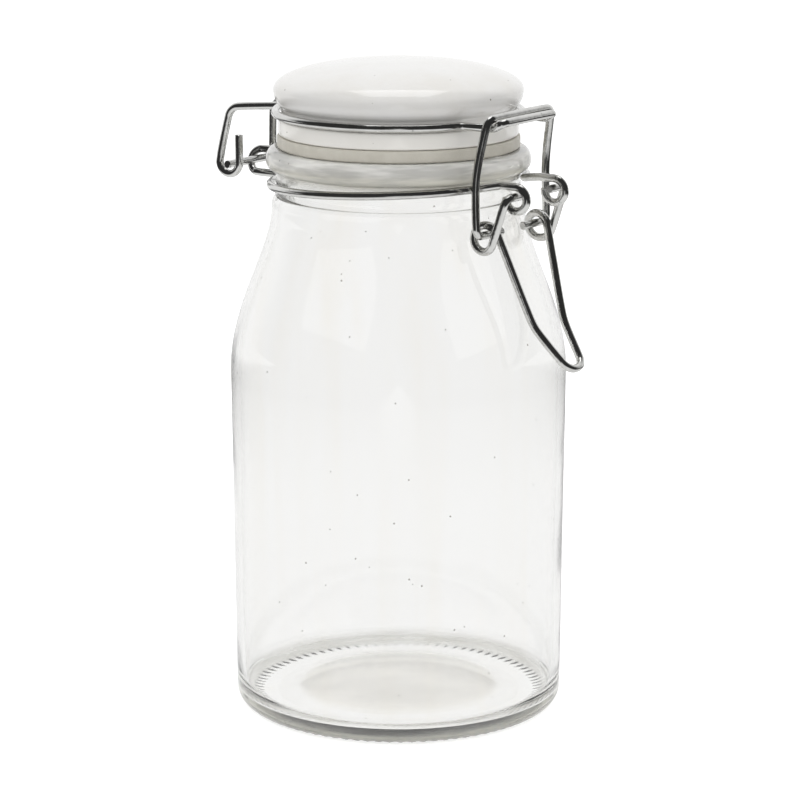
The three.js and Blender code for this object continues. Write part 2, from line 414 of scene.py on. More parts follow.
def put(name: str, surface: Surface, material: Material, crease: float) -> Object:
    """Makes an object at the origin from a surface, smooth apart from its creases.

    Args:
        name: The object's name.
        surface: Its surface in millimetres.
        material: Its finish.
        crease: Angle in degrees above which an edge stays sharp.

    Returns:
        The object, in the scene.
    """
    corners = np.concatenate([surface.quads.ravel(), surface.triangles.ravel()]).astype(np.int32)
    sizes = np.r_[np.full(len(surface.quads), 4), np.full(len(surface.triangles), 3)]
    uv = np.vstack([surface.quad_uv.reshape(-1, 2), surface.triangle_uv.reshape(-1, 2)])
    mesh = bpy.data.meshes.new(name)
    mesh.vertices.add(len(surface.points))
    mesh.vertices.foreach_set("co", (surface.points * MM).astype(np.float32).ravel())
    mesh.loops.add(len(corners))
    mesh.loops.foreach_set("vertex_index", corners)
    mesh.polygons.add(len(sizes))
    mesh.polygons.foreach_set("loop_start", (np.cumsum(sizes) - sizes).astype(np.int32))
    mesh.update(calc_edges=True)
    mesh.uv_layers.new(name="UVMap").data.foreach_set("uv", uv.astype(np.float32).ravel())
    mesh.validate()
    mesh.shade_smooth()
    mesh.set_sharp_from_angle(angle=math.radians(crease))
    mesh.materials.append(material)
    piece = bpy.data.objects.new(name, mesh)
    bpy.context.scene.collection.objects.link(piece)
    return piece


# Finishes


@dataclass(frozen=True)
class Pattern:
    """Noise on a surface: waves per metre, detail, and the span of it that runs between two ends."""

    scale: float
    detail: float
    span: Pair
    ends: Pair = (0.0, 1.0)


@dataclass(frozen=True)
class Relief:
    """Raised noise on a surface: waves per metre, detail, and depth in millimetres."""

    scale: float
    detail: float
    depth: float


@dataclass(frozen=True)
class Specks:
    """Small scattered dots: cells per metre, and a dot's size as a share of a cell."""

    scale: float
    size: float


class Graph:
    """Shader nodes of one material or world, with values set or sockets linked as they are added."""

    def __init__(self, owner: Material | bpy.types.World) -> None:
        """Takes a material or a world and empties its node tree.

        Args:
            owner: The material or world.
        """
        self.owner = owner
        self.owner.use_nodes = True
        self.tree = self.owner.node_tree
        self.tree.nodes.clear()

    def add(self, kind: str, inputs: dict[str | int, Any] | None = None, **settings: Any) -> bpy.types.Node:
        """Adds a node.

        Args:
            kind: The node's type.
            inputs: A value to set or a socket to link, by input.
            settings: Properties of the node.

        Returns:
            The node.
        """
        node = self.tree.nodes.new(kind)
        for key, value in settings.items():
            setattr(node, key, value)
        for key, value in (inputs or {}).items():
            self.give(node.inputs[key], value)
        return node

    def give(self, socket: Socket, value: Any) -> None:
        """Links a socket to an input, or sets the input to a value.

        Args:
            socket: The input.
            value: The socket or value that it gets.
        """
        if isinstance(value, Socket):
            self.tree.links.new(value, socket)
        else:
            socket.default_value = value

    def place(self) -> Socket:
        """Gives the Object coordinates."""
        return self.add("ShaderNodeTexCoord").outputs["Object"]

    def height(self, place: Socket) -> Socket:
        """Gives the height of a place."""
        return self.add("ShaderNodeSeparateXYZ", {0: place}).outputs["Z"]

    def length(self, place: Socket) -> Socket:
        """Gives the distance of a place from the origin."""
        return self.add("ShaderNodeVectorMath", {0: place}, operation="LENGTH").outputs["Value"]

    def along(self, place: Socket, way: Triple) -> Socket:
        """Gives how far a place is along a direction: their dot product."""
        return self.add("ShaderNodeVectorMath", {0: place, 1: way}, operation="DOT_PRODUCT").outputs["Value"]

    def stretched(self, place: Socket, shares: Triple) -> Socket:
        """Gives a place with each axis times a share, so that a pattern on it is drawn out."""
        return self.add("ShaderNodeMapping", {"Vector": place, "Scale": shares}).outputs["Vector"]

    def noise(self, place: Socket, scale: float, detail: float) -> Socket:
        """Gives smooth noise from 0 to 1 at a scale in waves per metre."""
        inputs = {"Vector": place, "Scale": scale, "Detail": detail, "Roughness": NOISE_ROUGHNESS}
        return self.add("ShaderNodeTexNoise", inputs).outputs["Fac"]

    def pattern(self, place: Socket, pattern: Pattern) -> Socket:
        """Gives noise with the pattern's span mapped onto its ends."""
        return self.ramp(self.noise(place, pattern.scale, pattern.detail), pattern.span, pattern.ends)

    def ramp(self, value: Socket, span: Pair, ends: Pair = (0.0, 1.0)) -> Socket:
        """Maps a span of a value smoothly onto two ends, and holds it outside the span.

        Args:
            value: The value.
            span: Where the ramp starts and stops.
            ends: What it gives there.

        Returns:
            The mapped value.
        """
        keys = ("From Min", "From Max", "To Min", "To Max")
        inputs = {"Value": value, **dict(zip(keys, (*span, *ends)))}
        return self.add("ShaderNodeMapRange", inputs, interpolation_type="SMOOTHSTEP").outputs["Result"]

    def rise(self, value: Socket, span: Pair, share: float = 1.0) -> Socket:
        """Gives nothing below a span in millimetres and a share above it."""
        return self.ramp(value, (span[0] * MM, span[1] * MM), (0.0, share))

    def fade(self, value: Socket, span: Pair, share: float = 1.0) -> Socket:
        """Gives a share below a span in millimetres and nothing above it."""
        return self.ramp(value, (span[0] * MM, span[1] * MM), (share, 0.0))

    def math(self, kind: str, a: Any, b: Any = 0.0) -> Socket:
        """Gives one sum, product or the like of two values."""
        return self.add("ShaderNodeMath", {0: a, 1: b}, operation=kind).outputs["Value"]

    def blend(self, share: Socket, a: Any, b: Any) -> Socket:
        """Gives a colour between two.

        Args:
            share: The share of the second.
            a: The first colour, or a socket that gives it.
            b: The second.

        Returns:
            The colour between them.
        """
        node = self.add("ShaderNodeMix", data_type="RGBA")
        live = {socket.name: socket for socket in node.inputs if socket.enabled}
        self.give(live["Factor"], share)
        for key, colour in (("A", a), ("B", b)):
            self.give(live[key], (*colour, 1.0) if isinstance(colour, tuple) else colour)
        return next(socket for socket in node.outputs if socket.name == "Result" and socket.enabled)

    def specks(self, place: Socket, specks: Specks) -> Socket:
        """Gives 1 inside scattered specks and 0 outside: a threshold on the distance to scattered points.

        Args:
            place: The place on the surface.
            specks: The specks' sizes.

        Returns:
            The share of speck.
        """
        inputs = {"Vector": place, "Scale": specks.scale, "Randomness": 1.0}
        near = self.add("ShaderNodeTexVoronoi", inputs).outputs["Distance"]
        return self.ramp(near, (SPECK_CORE * specks.size, specks.size), (1.0, 0.0))

    def bump(self, height: Socket, depth: float, before: Socket | None = None) -> Socket:
        """Gives a normal from a height between 0 and 1.

        Args:
            height: The height.
            depth: What a height of 1 stands for, in millimetres.
            before: The normal that it starts from.

        Returns:
            The normal.
        """
        inputs: dict[str | int, Any] = {"Height": height, "Strength": 1.0, "Distance": depth * MM}
        if before is not None:
            inputs["Normal"] = before
        return self.add("ShaderNodeBump", inputs).outputs["Normal"]

    def relief(self, place: Socket, relief: Relief, before: Socket | None = None) -> Socket:
        """Gives a normal from raised noise."""
        return self.bump(self.noise(place, relief.scale, relief.detail), relief.depth, before)

    def principled(self, inputs: dict[str | int, Any]) -> Socket:
        """Gives the Principled shader with values set or sockets linked."""
        return self.add("ShaderNodeBsdfPrincipled", inputs).outputs["BSDF"]

    def finish(self, shader: Socket, volume: Socket | None = None) -> Material:
        """Links the shader, and a volume where there is one, to the output.

        Args:
            shader: The surface.
            volume: What fills the inside.

        Returns:
            The material.
        """
        inputs: dict[str | int, Any] = {"Surface": shader}
        if volume is not None:
            inputs["Volume"] = volume
        self.add("ShaderNodeOutputMaterial", inputs)
        return self.owner


@dataclass(frozen=True)
class ClearGlass:
    """Clear pressed glass: faint ripple, streaks and specks, a stippled base, haze and painted light on bead
    and heel.

    A pair of heights or radii in millimetres is where a layer starts and stops changing.
    """

    clear: Colour = (0.974, 0.974, 0.973)
    speck: Colour = (0.13, 0.12, 0.10)
    haze: Colour = (0.94, 0.92, 0.875)
    # Beige of the bead and heel bands: partly haze, partly painted light that lifts the shade seen through
    # the glass there.
    scale: Colour = (0.76, 0.735, 0.61)
    # Paler tone at the rim top: a painted highlight.
    rim: Colour = (0.94, 0.93, 0.885)
    absorbed: Colour = (0.79, 0.79, 0.745)
    density: float = 44.0
    refraction: float = 1.5
    stipple_radius: Pair = (23.0, 26.0)
    stipple_height: Pair = (5.6, 6.6)
    stipple_haze: float = 0.8
    stipple_roughness: float = 0.12
    bead_height: Pair = (132.5, 136.0)
    bead_share: float = 0.7
    rim_highlight_height: Pair = (136.8, 138.8)
    heel_height: Pair = (1.5, 7.0)
    heel_radius: Pair = (35.5, 38.5)
    heel_share: float = 0.45
    level: Triple = (1.0, 1.0, 0.0)
    streak_stretch: Triple = (1.0, 1.0, 0.06)
    band_stretch: Triple = (0.12, 0.12, 1.0)
    dots: Specks = Specks(140, 0.042)
    streaks: Pattern = Pattern(110, 4, (0.45, 0.8), (0.0, 0.5))
    bead_bands: Pattern = Pattern(420, 3, (0.35, 0.65), (0.55, 1.0))
    heel_bands: Pattern = Pattern(420, 3, (0.3, 0.7), (0.5, 1.0))
    smears: Pattern = Pattern(38, 4, (0.55, 0.8), (0.0, 0.035))
    ripple: Relief = Relief(52, 1, 0.10)
    stipple: Relief = Relief(2400, 2, 0.018)

    def material(self) -> Material:
        """Makes the material.

        Returns:
            The material.
        """
        g = Graph(bpy.data.materials.new("clear_glass"))
        place = g.place()
        up = g.height(place)
        away = g.length(g.stretched(place, self.level))
        base = g.math("MULTIPLY", g.fade(away, self.stipple_radius), g.fade(up, self.stipple_height))
        streaks = g.pattern(g.stretched(place, self.streak_stretch), self.streaks)
        dull = g.math("MAXIMUM", g.math("MULTIPLY", base, self.stipple_haze), streaks)
        colour = g.blend(g.specks(place, self.dots), self.clear, self.speck)
        colour = g.blend(dull, colour, self.haze)
        drawn = g.stretched(place, self.band_stretch)
        # Bead and heel bands turn the glass half clear and pale: partly haze, partly painted light over the
        # shade there.
        high = g.rise(up, self.bead_height, self.bead_share)
        bead = g.math("MULTIPLY", high, g.pattern(drawn, self.bead_bands))
        low, out = g.fade(up, self.heel_height, self.heel_share), g.rise(away, self.heel_radius)
        heel = g.math("MULTIPLY", g.math("MULTIPLY", low, out), g.pattern(drawn, self.heel_bands))
        haze_and_painted_light = g.math("MAXIMUM", bead, heel)
        # Beige below the rim top and paler above it: painted light on the bands, with a painted highlight on
        # the rim top.
        band_tone_and_rim_highlight = g.blend(g.rise(up, self.rim_highlight_height), self.scale, self.rim)
        frosted = g.math("MULTIPLY", base, self.stipple_roughness)
        grain = g.math("MULTIPLY", g.noise(place, self.stipple.scale, self.stipple.detail), base)
        shader = g.principled({
            "Base Color": g.blend(haze_and_painted_light, colour, band_tone_and_rim_highlight),
            "Roughness": g.math("ADD", frosted, g.pattern(place, self.smears)),
            "IOR": self.refraction,
            "Transmission Weight": g.math("SUBTRACT", 1.0, haze_and_painted_light),
            "Normal": g.bump(grain, self.stipple.depth, g.relief(place, self.ripple)),
        })
        fill = g.add("ShaderNodeVolumeAbsorption", {"Color": (*self.absorbed, 1.0), "Density": self.density})
        return g.finish(shader, fill.outputs["Volume"])


@dataclass(frozen=True)
class WhiteGlaze:
    """Opaque white ceramic glaze: faint mottling, rare brown specks, a paler flange, partly its own cream and
    partly painted light.
    """

    top: Colour = (0.75, 0.742, 0.725)
    mottle: Colour = (0.705, 0.688, 0.652)
    # Paler cream below the dome: partly the flange's own tone, partly painted light that lifts the shade
    # under the dome.
    low: Colour = (0.94, 0.92, 0.87)
    speck: Colour = (0.16, 0.135, 0.10)
    painted_light_height: Pair = (148.5, 150.5)
    painted_light_share: float = 0.75
    refraction: float = 1.52
    coat: float = 0.5
    coat_roughness: float = 0.04
    mottling: Pattern = Pattern(70, 5, (0.35, 0.75))
    roughness: Pattern = Pattern(160, 4, (0.3, 0.8), (0.08, 0.2))
    dots: Specks = Specks(260, 0.068)
    waves: Relief = Relief(110, 2, 0.06)
    pits: Relief = Relief(1500, 2, 0.012)

    def material(self) -> Material:
        """Makes the material.

        Returns:
            The material.
        """
        g = Graph(bpy.data.materials.new("white_glaze"))
        place = g.place()
        tone = g.blend(g.pattern(place, self.mottling), self.top, self.mottle)
        # Painted light: below the dome the glaze is blended towards the paler tone, which lifts the flange's
        # shade.
        tone = g.blend(g.fade(g.height(place), self.painted_light_height, self.painted_light_share), tone, self.low)
        return g.finish(g.principled({
            "Base Color": g.blend(g.specks(place, self.dots), tone, self.speck),
            "Roughness": g.pattern(place, self.roughness),
            "IOR": self.refraction,
            "Coat Weight": self.coat,
            "Coat Roughness": self.coat_roughness,
            "Normal": g.relief(place, self.pits, g.relief(place, self.waves)),
        }))


@dataclass(frozen=True)
class PaleRubber:
    """Matte grey-beige rubber: fine grain, dusty bloom and darker smudges."""

    ground: Colour = (0.58, 0.555, 0.485)
    bloom: Colour = (0.63, 0.605, 0.535)
    smudge: Colour = (0.48, 0.455, 0.395)
    specular: float = 0.4
    dust: Pattern = Pattern(320, 5, (0.35, 0.7))
    smudges: Pattern = Pattern(60, 4, (0.55, 0.8), (0.0, 0.6))
    roughness: Pattern = Pattern(700, 3, (0.3, 0.7), (0.36, 0.55))
    grain: Relief = Relief(2600, 2, 0.05)

    def material(self) -> Material:
        """Makes the material.

        Returns:
            The material.
        """
        g = Graph(bpy.data.materials.new("pale_rubber"))
        place = g.place()
        tone = g.blend(g.pattern(place, self.dust), self.ground, self.bloom)
        return g.finish(g.principled({
            "Base Color": g.blend(g.pattern(place, self.smudges), tone, self.smudge),
            "Roughness": g.pattern(place, self.roughness),
            "Specular IOR Level": self.specular,
            "Normal": g.relief(place, self.grain),
        }))


@dataclass(frozen=True)
class PlatedWire:
    """Bright zinc-plated steel wire: draw lines along it, duller patches, and small dark scuffs."""

    bright: Colour = (0.64, 0.64, 0.625)
    dull: Colour = (0.36, 0.355, 0.34)
    scuff: Colour = (0.11, 0.105, 0.095)
    scuff_roughness: float = 0.25
    line_stretch: Triple = (26.0, 34.0, 1.0)
    line_tone: Pattern = Pattern(1, 5, (0.35, 0.7), (0.3, 1.0))
    line_roughness: Pattern = Pattern(1, 5, (0.3, 0.75), (0.07, 0.2))
    line_grooves: Relief = Relief(1, 5, 0.02)
    patches: Pattern = Pattern(140, 4, (0.4, 0.72), (0.0, 0.8))
    scuffs: Pattern = Pattern(620, 3, (0.68, 0.76), (0.0, 0.7))
    dents: Relief = Relief(330, 2, 0.06)

    def material(self) -> Material:
        """Makes the material, with draw lines along the wire's UV map: turns round it, metres along it.

        Returns:
            The material.
        """
        g = Graph(bpy.data.materials.new("plated_wire"))
        place = g.place()
        run = g.stretched(g.add("ShaderNodeUVMap", uv_map="UVMap").outputs["UV"], self.line_stretch)
        share = g.math("MULTIPLY", g.pattern(run, self.line_tone), g.pattern(place, self.patches))
        tone = g.blend(share, self.bright, self.dull)
        spots = g.pattern(place, self.scuffs)
        rough = g.math("MULTIPLY", spots, self.scuff_roughness)
        return g.finish(g.principled({
            "Base Color": g.blend(spots, tone, self.scuff),
            "Metallic": 1.0,
            "Roughness": g.math("ADD", g.pattern(run, self.line_roughness), rough),
            "Normal": g.relief(place, self.dents, g.relief(run, self.line_grooves)),
        }))


# Pieces


class Piece:
    """A piece of the jar, with its name, its CAD node, its body, its slot and its crease angle in degrees."""

    name: ClassVar[str]
    node: ClassVar[str]
    body: ClassVar[Body]
    slot: ClassVar[Slot]
    crease: ClassVar[float]

    def surface(self) -> Surface:
        """Gives the piece's closed surface."""
        raise NotImplementedError

    def build(self, finish: Material) -> None:
        """Builds the piece, dresses it in its finish, and puts it on its body in place of its CAD node.

        Args:
            finish: The finish.
        """
        piece = put(self.name, self.surface(), finish, self.crease)
        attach(piece, self.body.value)
        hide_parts(self.node)
        log.info("%s: %d faces on %s", piece.name, len(piece.data.polygons), self.body.value)


@dataclass
class GlassJar(Piece):
    """The glass jar: knurled bearing ring, pushed-up base, straight body, shoulder, wire groove and bead.

    Each of its waves is a depth, a count round the jar, a turn in radians per millimetre up it, and a phase.
    """

    name: ClassVar[str] = "glass_jar"
    node: ClassVar[str] = "jar_glass"
    body: ClassVar[Body] = Body.JAR
    slot: ClassVar[Slot] = Slot.GLASS
    crease: ClassVar[float] = 60.0

    height: float = 140.8
    body_radius: float = 41.6
    heel_radius: float = 40.8
    heel_round: float = 4.2
    shoulder_reach: float = 40.0
    shoulder_lead: float = 15.6
    neck_lead: float = 10.0
    neck_radius: float = 31.2
    neck_straight: float = 0.6
    neck_curve: float = 2.9
    neck_ease: float = 0.4
    neck_ease_inside: float = 0.45
    groove_radius: float = 30.0
    groove_run_out: float = 0.9
    groove_round: float = 0.5
    groove_lip: float = 0.6
    ring_under_bead: float = 0.3
    ring_rise: float = 1.5
    bead_height: float = 5.2
    bead_radius: float = 32.5
    bead_belly: float = 0.4
    rim_drop: float = 0.4
    rim_slope: float = 2.0
    rim_round: float = 0.9
    mouth_radius: float = 27.5
    mouth_land: float = 11.9
    wall: float = 2.0
    floor: float = 3.3
    floor_round: float = 5.0
    floor_ease: float = 3.0
    push_up: float = 1.8
    push_up_radius: float = 24.0
    push_up_run: float = 5.5
    push_up_level: float = 0.3
    bearing_ease: float = 1.0
    knurls: int = 88
    knurl_depth: float = 0.28
    knurl_inset: float = 2.2
    knurl_run: float = 5.2
    knurl_fade: float = 0.8
    knurl_height: float = 1.5
    waves: tuple[tuple[float, int, float, float], ...] = ((0.07, 2, 0.05, 0.0), (0.04, 3, -0.11, 1.0))
    wave_low: float = 8.0
    wave_high: float = 125.0
    wave_ease: float = 12.0
    wave_outside: float = 0.35
    shoulder_low: float = 80.0
    shoulder_slope: float = 0.11
    row_step: float = 3.0
    columns: int = 440

    @property
    def bearing_inner(self) -> float:
        """Inner radius of the ring that the jar stands on."""
        return self.push_up_radius + self.push_up_run

    @property
    def bead_low(self) -> float:
        """Height of the bead's underside."""
        return self.height - self.bead_height

    @property
    def ring_height(self) -> float:
        """Height of the middle of the wire ring under the bead."""
        return self.bead_low - self.ring_under_bead - WIRE_RADIUS - self.ring_rise

    @property
    def groove_low(self) -> float:
        """Height at which the wire groove ends."""
        return self.ring_height - self.ring_rise - WIRE_RADIUS - self.groove_run_out

    @property
    def neck_top(self) -> float:
        """Height at which the neck starts to curve into the groove."""
        return self.groove_low - self.neck_curve

    @property
    def shoulder(self) -> Pair:
        """Heights of the shoulder's low and high end."""
        high = self.neck_top - self.neck_straight
        return high - self.shoulder_reach, high

    def outside(self) -> list[Array]:
        """Gives the outer profile: push-up, bearing ring, heel arc, wall, shoulder, groove and bead.

        Returns:
            Runs of radius and height, from the axis out and up.
        """
        heel = self.heel_radius - self.heel_round
        low, high = self.shoulder
        belly = self.bead_low + self.bead_belly * self.bead_height
        bearing = self.bearing_inner + self.bearing_ease
        body, neck, groove, bead = self.body_radius, self.neck_radius, self.groove_radius, self.bead_radius
        return [
            np.array([[0, self.push_up]]),
            bezier([
                (self.push_up_level * self.push_up_radius, self.push_up),
                (self.push_up_radius, self.push_up),
                (self.push_up_radius, 0),
                (bearing, 0),
            ], 16),
            np.linspace((bearing, 0), (heel, 0), 9),
            arc((heel, self.heel_round), self.heel_round, -90, 0, 9),
            np.array([[body, low]]),
            bezier([
                (body, low),
                (body, low + self.shoulder_lead),
                (neck, high - self.neck_lead),
                (neck, high),
            ], 16),
            bezier([
                (neck, self.neck_top),
                (neck, self.groove_low - self.neck_ease * self.neck_curve),
                (groove, self.groove_low),
            ], 5),
            rounded((groove, self.bead_low), (0, -self.groove_round), (self.groove_lip, 0), 4),
            bezier([(groove + self.groove_lip, self.bead_low), (bead, self.bead_low), (bead, belly)], 6),
            bezier([
                (bead, belly),
                (bead, self.height - self.rim_drop),
                (bead - self.rim_slope, self.height),
            ], 7),
        ]

    def inside(self) -> list[Array]:
        """Gives the inner profile: rim, mouth land, shoulder curve, wall and floor.

        Returns:
            Runs of radius and height, down and back to the axis.
        """
        low, high = self.shoulder
        inner, heel, neck = (r - self.wall for r in (self.body_radius, self.heel_radius, self.neck_radius))
        floor, disc = self.floor, self.push_up + self.floor
        return [
            rounded((self.mouth_radius, self.height), (self.rim_round, 0), (0, -self.rim_round), 4),
            bezier([
                (self.mouth_radius, self.height - self.mouth_land),
                (neck, self.neck_top + self.neck_ease_inside * self.neck_curve),
                (neck, high),
            ], 6),
            bezier([
                (neck, high),
                (neck, high - self.neck_lead),
                (inner, low + self.shoulder_lead),
                (inner, low),
            ], 14),
            rounded((heel, floor), (0, self.floor_round), (-self.floor_round, 0), 9),
            bezier([
                (self.bearing_inner + self.floor_ease, floor),
                (self.push_up_radius, floor),
                (self.push_up_radius, disc),
                (self.push_up_level * self.push_up_radius, disc),
            ], 16),
            np.array([[0, disc]]),
        ]

    def swell(self, radius: Array, height: Array, angle: Array) -> tuple[Array, Array]:
        """Cuts the knurls and gives the wall its slight unevenness.

        The bearing ring rises between knurls by a raised cosine of the angle, faded out at its two edges.
        The radius of the body changes by a few slow sine waves round the jar and up it, less outside than
        inside.

        Args:
            radius: Radius of each point.
            height: Height of each point.
            angle: Angle of each point.

        Returns:
            Change of radius and of height.
        """
        heel = self.heel_radius - self.heel_round
        across = np.clip((radius - heel + self.knurl_inset) / self.knurl_run, 0, 1)
        fade = np.sin(np.pi * across) ** self.knurl_fade * np.clip(self.knurl_height - height, 0, 1)
        lift = self.knurl_depth * (0.5 - 0.5 * np.cos(self.knurls * angle)) * fade
        from_low = np.clip((height - self.wave_low) / self.wave_ease, 0, 1)
        from_high = np.clip((self.wave_high - height) / self.wave_ease, 0, 1)
        wave = sum(
            depth * np.sin(count * angle + twist * height + phase)
            for depth, count, twist, phase in self.waves
        )
        narrowing = self.shoulder_slope * np.clip(height - self.shoulder_low, 0, None)
        inner = radius < self.body_radius - self.wall / 2 - narrowing
        return from_low * from_high * wave * np.where(inner, 1.0, self.wave_outside), lift

    def surface(self) -> Surface:
        """Turns the outer and inner profile into the jar."""
        return turned(chain([*self.outside(), *self.inside()], self.row_step), self.columns, self.swell)


@dataclass
class CeramicLid(Piece):
    """The glazed lid: plug, flange, wire groove and dome."""

    name: ClassVar[str] = "ceramic_lid"
    node: ClassVar[str] = "lid_ceramic"
    body: ClassVar[Body] = Body.LID
    slot: ClassVar[Slot] = Slot.GLAZE
    crease: ClassVar[float] = 50.0

    jar: GlassJar
    seal: float = 2.5
    plug_radius: float = 26.0
    plug_depth: float = 9.0
    plug_round: float = 1.3
    hollow_depth: float = 2.0
    hollow_level: float = 0.6
    hollow_inset: float = 3.0
    root_round: float = 0.5
    flange_radius: float = 29.5
    flange_height: float = 4.2
    flange_round: float = 1.0
    brim_drop: float = 0.6
    brim_inset: float = 0.5
    groove_radius: float = 28.7
    groove_height: float = 2.6
    groove_foot: Pair = (0.15, 0.2)
    groove_roof: float = 0.3
    cove: float = 0.25
    cap_radius: float = 30.6
    cap_rise: float = 4.3
    cap_swell: float = 0.38
    dome_rise: float = 7.1
    dome_edge: float = 0.56
    dome_crown: float = 0.62
    row_step: float = 1.6
    columns: int = 256

    @property
    def flange_low(self) -> float:
        """Height of the flange's underside, on the seal."""
        return self.jar.height + self.seal + 2 * GAP

    @property
    def ring_height(self) -> float:
        """Height of the middle of the wire groove."""
        return self.flange_low + self.flange_height + self.groove_height / 2

    def profile(self) -> Array:
        """Gives the lid's profile: hollow plug, rounded flange, groove with soft corners, cove and dome.

        Returns:
            Radius and height of each row.
        """
        flange_low = self.flange_low
        plug_low = flange_low - self.plug_depth
        flange_top = flange_low + self.flange_height
        cap_low = flange_top + self.groove_height
        wide = cap_low + self.cap_rise
        top = wide + self.dome_rise
        plug, flange, groove, cap = self.plug_radius, self.flange_radius, self.groove_radius, self.cap_radius
        hollow, level = plug_low + self.hollow_depth, self.hollow_level * plug
        foot_in, foot_up = self.groove_foot
        cove = (groove + self.cove, cap_low + self.cove)
        return chain([
            bezier([(0, hollow), (level, hollow), (plug - self.hollow_inset, plug_low)], 10),
            rounded((plug, plug_low), (-self.plug_round, 0), (0, self.plug_round), 5),
            rounded((plug, flange_low), (0, -self.root_round), (self.root_round, 0), 4),
            rounded((flange, flange_low), (-self.flange_round, 0), (0, self.flange_round), 5),
            rounded((flange, flange_top), (0, -self.brim_drop), (-self.brim_inset, 0), 5),
            rounded((groove, flange_top), (foot_in, 0), (0, foot_up), 3),
            rounded((groove, cap_low), (0, -self.groove_roof), (self.cove, self.cove), 4),
            bezier([cove, (cap, cap_low + self.cap_swell * self.cap_rise), (cap, wide)], 10),
            bezier([
                (cap, wide),
                (cap, wide + self.dome_edge * self.dome_rise),
                (self.dome_crown * cap, top),
                (0, top),
            ], 26),
        ], self.row_step)

    def surface(self) -> Surface:
        """Turns the profile into the lid."""
        return turned(self.profile(), self.columns)


@dataclass
class SealGasket(Piece):
    """The flat rubber ring between the lid's flange and the jar's rim.

    Each of its waves is a share, a count round the ring, and a phase.
    """

    name: ClassVar[str] = "seal_gasket"
    node: ClassVar[str] = "lid_gasket"
    body: ClassVar[Body] = Body.LID
    slot: ClassVar[Slot] = Slot.RUBBER
    crease: ClassVar[float] = 50.0

    lid: CeramicLid
    radius: float = 29.9
    edge_round: float = 0.55
    rim_gap: float = 0.4
    flange_gap: float = 0.02
    plug_slack: float = 0.1
    squeeze: float = 0.06
    squeeze_inset: float = 1.0
    squeeze_run: float = 3.0
    waves: tuple[tuple[float, int, float], ...] = ((1.0, 3, 0.4), (0.6, 7, 2.0), (0.3, 17, 0.0))
    row_step: float = 0.8
    columns: int = 256

    def swell(self, radius: Array, height: Array, angle: Array) -> tuple[Array, Array]:
        """Gives the outer edge slow waves, as a squeezed ring has.

        They are sums of sines of the angle, drawn in by the most that they can reach, and none at the bore.

        Args:
            radius: Radius of each point.
            height: Height of each point.
            angle: Angle of each point.

        Returns:
            Change of radius and of height.
        """
        outer = np.clip((radius - self.lid.plug_radius - self.squeeze_inset) / self.squeeze_run, 0, 1)
        wave = sum(share * np.sin(count * angle + phase) for share, count, phase in self.waves)
        most = sum(share for share, _, _ in self.waves)
        return outer * self.squeeze * (wave - most), 0 * height

    def profile(self) -> Array:
        """Gives the ring's section, a flat oblong with rounded outer corners, closed on itself.

        Returns:
            Radius and height of each row.
        """
        low = self.lid.jar.height + self.rim_gap * GAP
        top = self.lid.flange_low - self.flange_gap
        inner = self.lid.plug_radius + GAP + self.plug_slack
        out, r = self.radius, self.edge_round
        return chain([
            np.array([[inner, low]]),
            arc((out - r, low + r), r, -90, 0, 6),
            arc((out - r, top - r), r, 0, 90, 6),
            np.array([[inner, top], [inner, low]]),
        ], self.row_step)

    def surface(self) -> Surface:
        """Turns the section into the ring."""
        return turned(self.profile(), self.columns, self.swell)


class BentWire(Piece):
    """A piece that is one bent wire."""

    slot: ClassVar[Slot] = Slot.WIRE
    crease: ClassVar[float] = 40.0

    def stations(self) -> Array:
        """Gives X, Y, Z and bend radius of the stations that the wire runs through."""
        raise NotImplementedError

    def surface(self) -> Surface:
        """Runs the wire through its stations."""
        return wire(self.stations())


